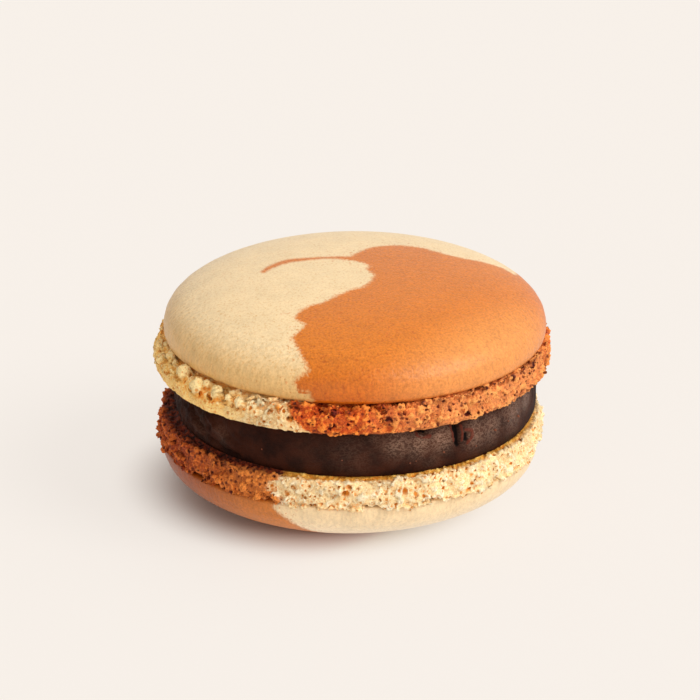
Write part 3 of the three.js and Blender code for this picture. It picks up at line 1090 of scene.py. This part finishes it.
# Each shell's softness of the marbling's edge, and where the painted highlight on its lit side starts and
# ends
UPPER_SOFTNESS, UPPER_LIT_FROM, UPPER_LIT_TO = 0.4, 15.0, 23.0
LOWER_SOFTNESS, LOWER_LIT_FROM, LOWER_LIT_TO = 0.45, -9.0, 9.0

# The ganache and the crumbs
GANACHE_SKIN = (38, 13, 5)
GANACHE_CLOUD = (60, 25, 11)
GANACHE_HIGHLIGHT_COLOUR = (164, 126, 104)
GANACHE_TORN = (112, 46, 30)
# Painted shade in narrow grooves
GANACHE_GROOVE_SHADE = (20, 7, 4)
GANACHE_SHINE = 0.12
CRUMB_DARK = (98, 44, 26)
CRUMB_LIGHT = (150, 84, 52)


def caramel_share(r, place, softness):
    """1 in the caramel and 0 in the cream. The edge wanders and is frayed, a thin tail of caramel
    runs into the cream, and specks of it lie near the edge."""
    marbling = r.attribute("marbling")
    wander = (r.noise(place, 1.0, 2.0) - 0.5) * 0.45
    fray = (r.noise(place, 0.35, 4.0, 0.75) - 0.5) * 1.7
    tail = r.attribute("tail_width") - r.math("ABSOLUTE", r.attribute("tail_side"))
    edge = r.most(marbling + wander + fray, tail + fray * 0.5)
    specks = r.step(r.noise(place, 0.42, 1.0), 0.64, 0.70) * r.step(marbling, -2.6, -0.3)
    return r.most(r.step(edge / softness, -1.0, 1.0), specks * 0.6)


def cap_look(r, place, climb, share, dough):
    """Colour, lightness and height of the smooth cap: toasted and darkened by painted shade towards its
    edge, with a grain of almond, flecks, and short streaks where it is steep."""
    grain = r.noise(place, 0.28, 3.0, 0.7)
    flecks = r.step(r.noise(place, 0.36, 2.0, 0.6), 0.56, 0.74)
    drawn = r.noise(r.stretched(place, (1.0, 1.0, 0.28)), 0.45, 2.0, 0.6)
    steep = r.step(climb, 1.2, 1.6) * (1.0 - r.step(climb, 3.6, 5.4))
    colour = dough("Cap")
    # toast and painted shade darken the cap towards its edge
    for amount, tint in ((1.0 - r.step(climb, 1.3, 4.4), TOAST_AND_SHADE_TINT),
                         (flecks * (share * 0.45 + 0.45), FLECK_TINT),
                         (0.6 - r.step(grain, 0.34, 0.52), ALMOND_TINT)):
        colour = r.mix(amount, colour, r.tinted(colour, tint))
    light = (r.scale(grain, 0.35, 0.65, -0.07, 0.12) * (share + 0.6)
             + r.scale(drawn, 0.35, 0.65, -0.08, 0.08) * steep
             + r.scale(r.noise(place, 2.6, 2.0), 0.3, 0.7, -0.04, 0.04))
    height = ((grain - 0.5) * 0.05 + (r.noise(place, 0.8, 2.0) - 0.5) * 0.06
              + (drawn - 0.5) * steep * 0.06)
    return colour, light, height


def foot_look(r, place, climb, fine, share, dough):
    """Colour, lightness, height and where painted highlight is kept off the foamy foot: pale crests,
    partly painted highlight, and painted shade in golden hollows, in dark pores, and in clods on the base."""
    level = r.attribute("relief") + fine * 0.5
    # crests are paler, partly as painted highlight; the hollows below them take painted shade
    crest = r.step(level, -0.14, 0.28)
    sunk = 1.0 - r.step(level, -0.34, 0.04)
    # painted shade in pinholes too small for the mesh, and in the bubbles and the crevice under the cap
    pinholes = r.most(1.0 - r.step(r.cells(place, 0.88), 0.15, 0.34),
                      0.85 - r.step(r.cells(place, 0.50), 0.08, 0.34))
    pinholes = pinholes * r.step(r.noise(place, 1.2, 1.0), 0.32, 0.44)
    deep = r.step(r.attribute("hollow") + fine * 0.15, 0.06, 0.22)
    pores = r.most(deep, pinholes * 0.9)
    # painted shade on the base and the lowest part of the foot, broken into clods
    on_base = 1.0 - r.step(climb, -0.45, 0.22)
    clods = r.step(r.noise(place, 0.9, 3.0, 0.6), 0.40, 0.56)
    base_shade = r.mix(share, r.mix(clods, *BASE_SHADE_CREAM_TINTS), r.mix(clods, *BASE_SHADE_CARAMEL_TINTS))
    colour = r.mix(crest, dough("Foot"), dough("Crest"))
    colour = r.mix(sunk, colour, r.tinted(colour, r.mix(share, SUNK_CREAM_TINT, SUNK_CARAMEL_TINT)))
    colour = r.mix(on_base, colour, r.tinted(colour, base_shade))
    colour = r.mix(pores * 0.9, colour, dough("Pores"))
    light = fine * 1.2 + r.scale(r.noise(place, 1.8, 1.0), 0.3, 0.7, -0.14, 0.16)
    # painted highlight is kept off pores, hollows, the base and the low places between crests, where shade
    # falls
    kept_from_highlight = r.most(r.most(pores, on_base), r.most(sunk * 0.7, 0.35 - crest * 0.35))
    return colour, light, fine * 0.14 - pores * 0.06, kept_from_highlight


def crust_group():
    """The crust of a shell: cream and caramel marbled with a feathered edge, a smooth cap and a
    foamy foot, and a painted highlight that makes all paler towards its lit side."""
    tree = bpy.data.node_groups.new("marbled_crust", "ShaderNodeTree")
    colours = [f"{dough} {part}" for dough in UPPER_CRUST for part in CRUST_PARTS]
    for way, kind, names in (("INPUT", "Color", colours),
                             ("INPUT", "Float", ["Edge Softness", "Highlight From", "Highlight To"]),
                             ("OUTPUT", "Color", ["Color"]), ("OUTPUT", "Float", ["Roughness", "Height"])):
        for name in names:
            tree.interface.new_socket(name, in_out=way, socket_type="NodeSocket" + kind)
    r = Recipe(tree)
    given = r.node("NodeGroupInput", {}).outputs
    place = r.place()
    climb = r.attribute("climb")
    on_foot = 1.0 - r.step(climb, 1.0, 1.2)
    fine = r.noise(place, 0.20, 3.0, 0.7) - 0.5
    share = caramel_share(r, place, given["Edge Softness"])

    def dough(part):
        """The colour of one part of the crust, cream or caramel."""
        return r.mix(share, given["Cream " + part], given["Caramel " + part])

    cap, cap_light, cap_height = cap_look(r, place, climb, share, dough)
    foot, foot_light, foot_height, kept_from_highlight = foot_look(r, place, climb, fine, share, dough)
    # painted highlight: the crust is painted paler towards its lit side, less so where shade falls on the
    # foot
    sideways = r.along(place, LIT_SIDE) + on_foot * (1.0 - share) * CREAM_FOOT_LIT_SHIFT
    highlight_strength = r.scale(on_foot, 0.0, 1.0, CAP_PAINTED_LIGHT, r.scale(kept_from_highlight, 0.0, 1.0, FOOT_PAINTED_LIGHT, 0.0))
    highlight_share = r.step(sideways, given["Highlight From"], given["Highlight To"]) * highlight_strength
    light = r.scale(on_foot, 0.0, 1.0, cap_light, foot_light) + 1.0
    colour = r.mix(highlight_share, r.mix(on_foot, cap, foot), dough("Highlight"))
    colour = r.node("ShaderNodeHueSaturation", {"Color": colour, "Value": light}).outputs[0]
    r.node("NodeGroupOutput", {
        "Color": colour, "Height": r.scale(on_foot, 0.0, 1.0, cap_height, foot_height),
        "Roughness": r.scale(on_foot, 0.0, 1.0, CAP_ROUGHNESS, FOOT_ROUGHNESS) + fine * 0.3})
    return tree


def new_material(name):
    """A material, the recipe for its nodes, and its shader's inputs."""
    material = bpy.data.materials.new(name)
    material.use_nodes = True
    return material, Recipe(material.node_tree), material.node_tree.nodes["Principled BSDF"].inputs


def dress(r, inputs, colour, roughness, height, specular):
    """Feeds a shader its colour, its roughness, its fine height in millimetres and its shine."""
    bump = r.node("ShaderNodeBump", {"Height": height, "Distance": MM, "Strength": 1.0})
    r.feed(inputs["Base Color"], colour)
    r.feed(inputs["Roughness"], roughness)
    r.feed(inputs["Normal"], bump.outputs[0])
    inputs["Specular IOR Level"].default_value = specular


def crust_finish(name, group, colours, softness, highlight_from, highlight_to):
    """The finish of one shell: its own colours in the crust."""
    material, r, inputs = new_material(name)
    values = {"Edge Softness": softness, "Highlight From": highlight_from * MM, "Highlight To": highlight_to * MM}
    for dough, shades in colours.items():
        values.update({f"{dough} {part}": shade(*rgb) for part, rgb in zip(CRUST_PARTS, shades)})
    crust = r.node("ShaderNodeGroup", {}, node_tree=group)
    for socket, value in values.items():
        crust.inputs[socket].default_value = value
    looks = (crust.outputs[name] for name in ("Color", "Roughness", "Height"))
    dress(r, inputs, *looks, CRUST_SHINE)
    return material


def ganache_finish():
    """Dark ganache: a rough skin, finely wrinkled, with satin patches of painted highlight, torn marks,
    and painted shade in narrow grooves.
    """
    material, r, inputs = new_material("dark_ganache")
    place = r.place()
    folds = r.noise(r.stretched(place, (1.0, 1.0, 1.6)), 0.6, 4.0, 0.65)
    wrinkle = 1.0 - r.step(r.math("ABSOLUTE", folds - 0.5), 0.0, 0.07)
    painted_highlight = r.attribute("painted_highlight")
    colour = shade(*GANACHE_SKIN)
    # painted highlight on the lit patches, strongest on the wrinkles; painted shade in narrow grooves
    for share, over in ((r.step(r.noise(place, 2.2, 3.0), 0.35, 0.65), GANACHE_CLOUD),
                        (painted_highlight * (wrinkle * 0.78 + 0.22), GANACHE_HIGHLIGHT_COLOUR),
                        (r.step(r.attribute("torn"), 0.2, 0.7) * 0.7, GANACHE_TORN),
                        (r.step(r.attribute("sunk"), 0.3, 0.7), GANACHE_GROOVE_SHADE)):
        colour = r.mix(share, colour, shade(*over))
    height = r.noise(place, 0.45, 4.0, 0.6) * 0.05 + wrinkle * 0.03
    dress(r, inputs, colour, r.scale(painted_highlight, 0.0, 0.5, 0.72, 0.42), height, GANACHE_SHINE)
    return material


def crumb_finish():
    """Baked crumbs, reddish brown."""
    material, r, inputs = new_material("baked_crumb")
    cloud = r.noise(r.place(), 0.3, 2.0)
    r.feed(inputs["Base Color"], r.mix(cloud, shade(*CRUMB_DARK), shade(*CRUMB_LIGHT)))
    inputs["Roughness"].default_value = 0.75
    return material


def floor_finish():
    """A plain pale floor. Round the macaron it is lit from above only, and farther off it glows."""
    material, r, inputs = new_material("pale_floor")
    off = r.value("ShaderNodeVectorMath", {0: r.place(), 1: MM * Vector(CONTACT_CENTRE)}, "Value",
                  operation="DISTANCE")
    open_floor = r.step(off, CONTACT_FROM * MM, CONTACT_TO * MM)
    r.feed(inputs["Base Color"], r.mix(open_floor, CONTACT_COLOUR, FLOOR_COLOUR))
    r.feed(inputs["Emission Color"], r.mix(open_floor, (0.0, 0.0, 0.0, 1.0), FLOOR_GLOW))
    for name, value in (("Emission Strength", 1.0), ("Roughness", 0.9), ("Specular IOR Level", 0.1)):
        inputs[name].default_value = value
    return material


# Put together

group = crust_group()
tail_path = smooth_curve(UPPER.to_world(on_shell(UPPER_TAIL_PIXELS, UPPER)), CURVE_STEPS)
tail_widths = np.interp(np.arange(len(tail_path)) / CURVE_STEPS,
                        np.arange(len(UPPER_TAIL_HALF_WIDTHS)), UPPER_TAIL_HALF_WIDTHS)
upper_edge = cap_edge(UPPER, UPPER_EDGE_PIXELS, [], UPPER_BACK_ANGLE)
lower_edge = cap_edge(LOWER, LOWER_EDGE_PIXELS, LOWER_UNDER_PLAN, LOWER_BACK_ANGLE)
upper_shell = make_shell("upper_meringue", UPPER, upper_edge, UPPER_FOOT_PIXELS, UPPER_BACK_ANGLE,
                         UPPER_BALLS, (tail_path, tail_widths))
lower_shell = make_shell("lower_meringue", LOWER, lower_edge, LOWER_FOOT_PIXELS, LOWER_BACK_ANGLE,
                         LOWER_BALLS)
filling = make_ganache()
crumbs = make_crumbs()
upper_finish = crust_finish("upper_crust", group, UPPER_CRUST,
                            UPPER_SOFTNESS, UPPER_LIT_FROM, UPPER_LIT_TO)
lower_finish = crust_finish("lower_crust", group, LOWER_CRUST,
                            LOWER_SOFTNESS, LOWER_LIT_FROM, LOWER_LIT_TO)
for piece, finish in ((upper_shell, upper_finish), (lower_shell, lower_finish),
                      (filling, ganache_finish()), (crumbs, crumb_finish())):
    piece.data.materials.append(finish)

for piece, node in ((upper_shell, "upper_shell"), (filling, "ganache"), (lower_shell, "lower_shell")):
    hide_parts(node)
    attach(piece, "root")
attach(crumbs, "root")

# Floor, light and camera

floor_corners = FLOOR_REACH * np.array([[-1, -1, 0], [1, -1, 0], [1, 1, 0], [-1, 1, 0]])
floor = build_mesh("floor", floor_corners, np.array([[0, 1, 2], [0, 2, 3]]))
floor.data.materials.append(floor_finish())

scene = bpy.context.scene
studio = bpy.data.worlds.new("pale_studio")
studio.use_nodes = True
r = Recipe(studio.node_tree)
ray = r.node("ShaderNodeTexCoord", {}).outputs["Generated"]
to_sky, to_sheen = (r.along(ray, Vector(side).normalized()) for side in (SKY_SIDE, SHEEN_SIDE))
sky = r.mix(r.step(to_sky, -0.25, 1.0), SKY_DARK, SKY_BRIGHT)
sheen = r.mix(r.step(to_sheen, -0.4, 0.7), SHEEN_DARK, SHEEN_BRIGHT)
mirrored = r.node("ShaderNodeLightPath", {}).outputs["Is Glossy Ray"]
r.feed(studio.node_tree.nodes["Background"].inputs["Color"], r.mix(mirrored, sky, sheen))
scene.world = studio

for name, side, strength, spread in (("key_light", KEY_FROM, KEY_STRENGTH, KEY_SPREAD),
                                     ("fill_light", FILL_FROM, FILL_STRENGTH, FILL_SPREAD)):
    lamp = bpy.data.objects.new(name, bpy.data.lights.new(name, "SUN"))
    lamp.data.energy = strength
    lamp.data.color = LAMP_COLOUR
    lamp.data.angle = math.radians(spread)
    lamp.rotation_euler = Vector(side).to_track_quat("Z", "Y").to_euler()
    scene.collection.objects.link(lamp)

eye, right, up, forward = camera_axes()
camera = bpy.data.objects.new("camera", bpy.data.cameras.new("camera"))
camera.data.sensor_width = SENSOR
camera.data.lens = SENSOR * FOCAL_PIXELS / PHOTO_PIXELS
camera.data.clip_start = 0.05
camera.data.clip_end = 10.0
camera.matrix_world = Matrix(np.vstack([
    np.column_stack([right, up, -forward, eye * MM]), [[0.0, 0.0, 0.0, 1.0]]]).tolist())
scene.collection.objects.link(camera)
scene.camera = camera
scene.view_settings.view_transform = "Standard"
